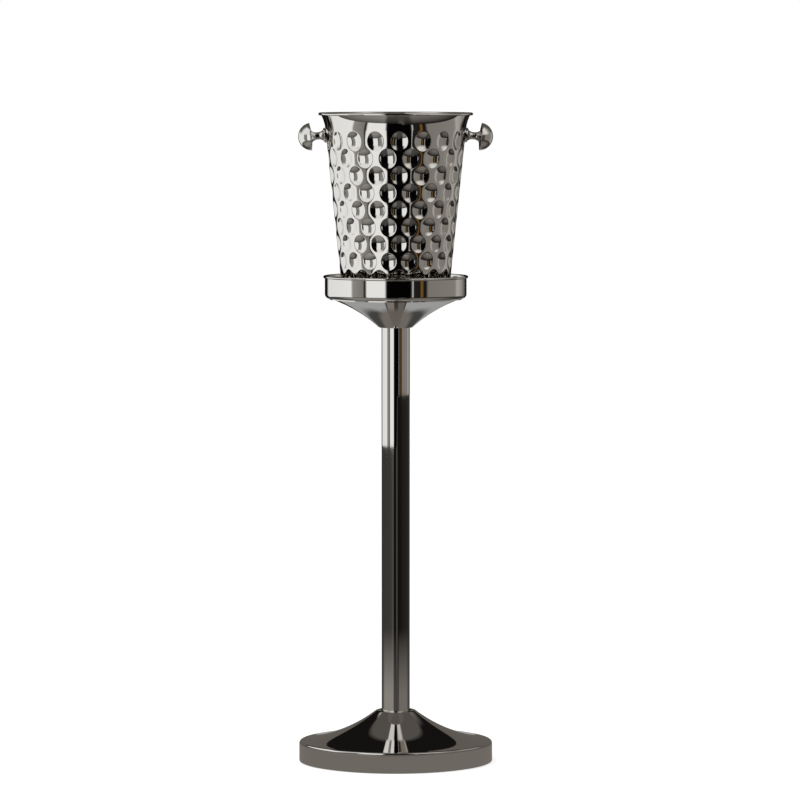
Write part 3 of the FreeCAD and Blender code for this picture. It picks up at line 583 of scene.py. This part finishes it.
# The flare above the first row, with its bead. The outer face ends where it meets the bead, three
# points before the end of the flare, and the bead ends flush with the inner face
FLARE_RADIUS = 52.0
FLARE_DEGREES = 30
RIM_BEAD = 1.9
flare_sine = math.sin(math.radians(FLARE_DEGREES))
dimples_top = FIRST_ROW + EDGE * PITCH
flare_end_z = BUCKET_TOP - RIM_BEAD + (RIM_BEAD - BUCKET_SHEET) * flare_sine
flare_z = flare_end_z - FLARE_RADIUS * (flare_sine - math.sin(LEAN))
flare_r0 = wall_radius(flare_z) + FLARE_RADIUS * math.cos(LEAN)
flare_z0 = flare_z - FLARE_RADIUS * math.sin(LEAN)
flare = [(wall_radius(dimples_top), dimples_top)]
flare += arc(flare_r0, flare_z0, FLARE_RADIUS, 180 - LEAN_DEGREES, 180 - FLARE_DEGREES, 24)
flare_in = [(wall_radius(dimples_top, BUCKET_SHEET), dimples_top)]
flare_in += one_sheet_in(flare, BUCKET_SHEET)[1:]
roll_r = flare[-1][0] + (RIM_BEAD - BUCKET_SHEET) * math.cos(math.radians(FLARE_DEGREES))
roll_z = BUCKET_TOP - RIM_BEAD
tuck = math.degrees(math.acos((RIM_BEAD - BUCKET_SHEET) / RIM_BEAD))
roll = arc(roll_r, roll_z, RIM_BEAD, -180 - FLARE_DEGREES + tuck, 180 - FLARE_DEGREES, 24)
rim_line = flare[:-3] + roll + flare_in[-2::-1]

# The tiles and the turned parts meet point for point, and are welded to one sheet
WELD = 0.00004
bucket_mesh = bmesh.new()
for mesh in wall_meshes:
    bucket_mesh.from_mesh(mesh)
for line in (bottom, rim_line, bottom_in):
    vertices, faces = turned(line, STEPS * SIDE_POINTS * 2, closed=False)
    made = [bucket_mesh.verts.new(v) for v in vertices]
    for face in faces:
        bucket_mesh.faces.new([made[i] for i in face])
bmesh.ops.remove_doubles(bucket_mesh, verts=bucket_mesh.verts, dist=WELD)
bmesh.ops.recalc_face_normals(bucket_mesh, faces=bucket_mesh.faces)
data = bpy.data.meshes.new("dimpled_bucket")
bucket_mesh.to_mesh(data)
bucket_mesh.free()
data.materials.append(steel)
data.shade_smooth()
bucket = bpy.data.objects.new("dimpled_bucket", data)
bpy.context.scene.collection.objects.link(bucket)
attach(bucket, "bucket")
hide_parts("bucket_shell")


# Knobs: stainless bar turned to a round foot, a waisted neck and a domed cap, and mirror polished.
# Each stands square on the wall and is held by a screw from inside the bucket.
KNOB_HEIGHT = BUCKET_TOP - 30.1
CAP_RADIUS = 18.4
CAP_TOP = 37.4
CAP_EDGE = 21.4
KNOB_FOOT = 10.0
FOOT_THICK = 2.5
FOOT_SUNK = 0.6
dome_rise = CAP_TOP - CAP_EDGE
dome = (CAP_RADIUS ** 2 + dome_rise ** 2) / (2 * dome_rise)
dome_end = math.degrees(math.asin((dome - dome_rise) / dome))
# From the top of the dome, round the cap's edge and back to the neck, then out to the foot
knob_line = arc(0, CAP_TOP - dome, dome, 90, dome_end, 28)
knob_line += arc(CAP_RADIUS - 0.6, CAP_EDGE - 0.2, 0.6, 0, -80, 5)
knob_line += [(10.0, CAP_EDGE - 2.0)]
knob_line += arc(15.2, 12.0, 10.3, 130, 187, 10)
knob_line += arc(14.4, 10.0, 9.5, 175, 218, 8)
knob_line += arc(KNOB_FOOT - 0.5, FOOT_THICK - 0.5, 0.5, 90, 0, 4)
knob_line += [(KNOB_FOOT, -FOOT_SUNK), (0, -FOOT_SUNK)]
vertices, faces = turned(knob_line, 96, closed=False)
for side, name in ((-1, "left_knob"), (1, "right_knob")):
    on_wall = Matrix.Translation((side * wall_radius(KNOB_HEIGHT) / 1000, 0, KNOB_HEIGHT / 1000))
    square_to_it = Matrix.Rotation(side * (math.pi / 2 + LEAN), 4, "Y")
    placed = [tuple(on_wall @ square_to_it @ Vector(v)) for v in vertices]
    knob = plain_mesh(name + "_turned", placed, faces, steel, 30)
    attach(knob, "bucket")
    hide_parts(name)


# Fixings, plugs, weight and rubber: steel screws, bolts, washers and plugs, a cast iron weight and
# rubber rings, which hold the object together from inside. They keep their solids' shapes.
# Machined steel is a dull grey metal, with a broad and soft highlight
plain_steel, tree = new_material("plain machined steel")
shader = add(tree, "ShaderNodeBsdfPrincipled",
             {"Base Color": linear("B9B7B3"), "Metallic": 1.0, "Roughness": 0.32})
add(tree, "ShaderNodeOutputMaterial", {"Surface": shader.outputs[0]})
# Painted iron is black with a faint sheen, broken up by the grain that the casting sand left, which
# is about 2.5 mm from bump to bump
GRAIN = 0.0025
iron, tree = new_material("black painted cast iron")
where = add(tree, "ShaderNodeTexCoord")
grain = add(tree, "ShaderNodeTexNoise",
            {"Vector": where.outputs["Object"], "Scale": 1 / GRAIN, "Detail": 3.0})
bump = add(tree, "ShaderNodeBump",
           {"Strength": 0.4, "Distance": 0.0004, "Height": grain.outputs[0]})
shader = add(tree, "ShaderNodeBsdfPrincipled",
             {"Base Color": linear("202020"), "Roughness": 0.55, "Normal": bump.outputs[0]})
add(tree, "ShaderNodeOutputMaterial", {"Surface": shader.outputs[0]})
# Moulded rubber is a flat black that hardly catches the light
rubber, tree = new_material("moulded black rubber")
shader = add(tree, "ShaderNodeBsdfPrincipled", {"Base Color": linear("161616"), "Roughness": 0.7})
add(tree, "ShaderNodeOutputMaterial", {"Surface": shader.outputs[0]})
finishes = {
    "floor_pad": rubber, "left_knob_seal": rubber, "right_knob_seal": rubber, "base_weight": iron,
    "base_bolt": plain_steel, "base_flat_washer": plain_steel, "base_spring_washer": plain_steel,
    "bottom_plug": plain_steel, "top_plug": plain_steel, "tray_bolt": plain_steel,
    "tray_flat_washer": plain_steel, "tray_spring_washer": plain_steel,
    "left_knob_screw": plain_steel, "right_knob_screw": plain_steel,
    "left_knob_washer": plain_steel, "right_knob_washer": plain_steel,
}
for name, finish in finishes.items():
    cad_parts[name].data.materials.clear()
    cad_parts[name].data.materials.append(finish)
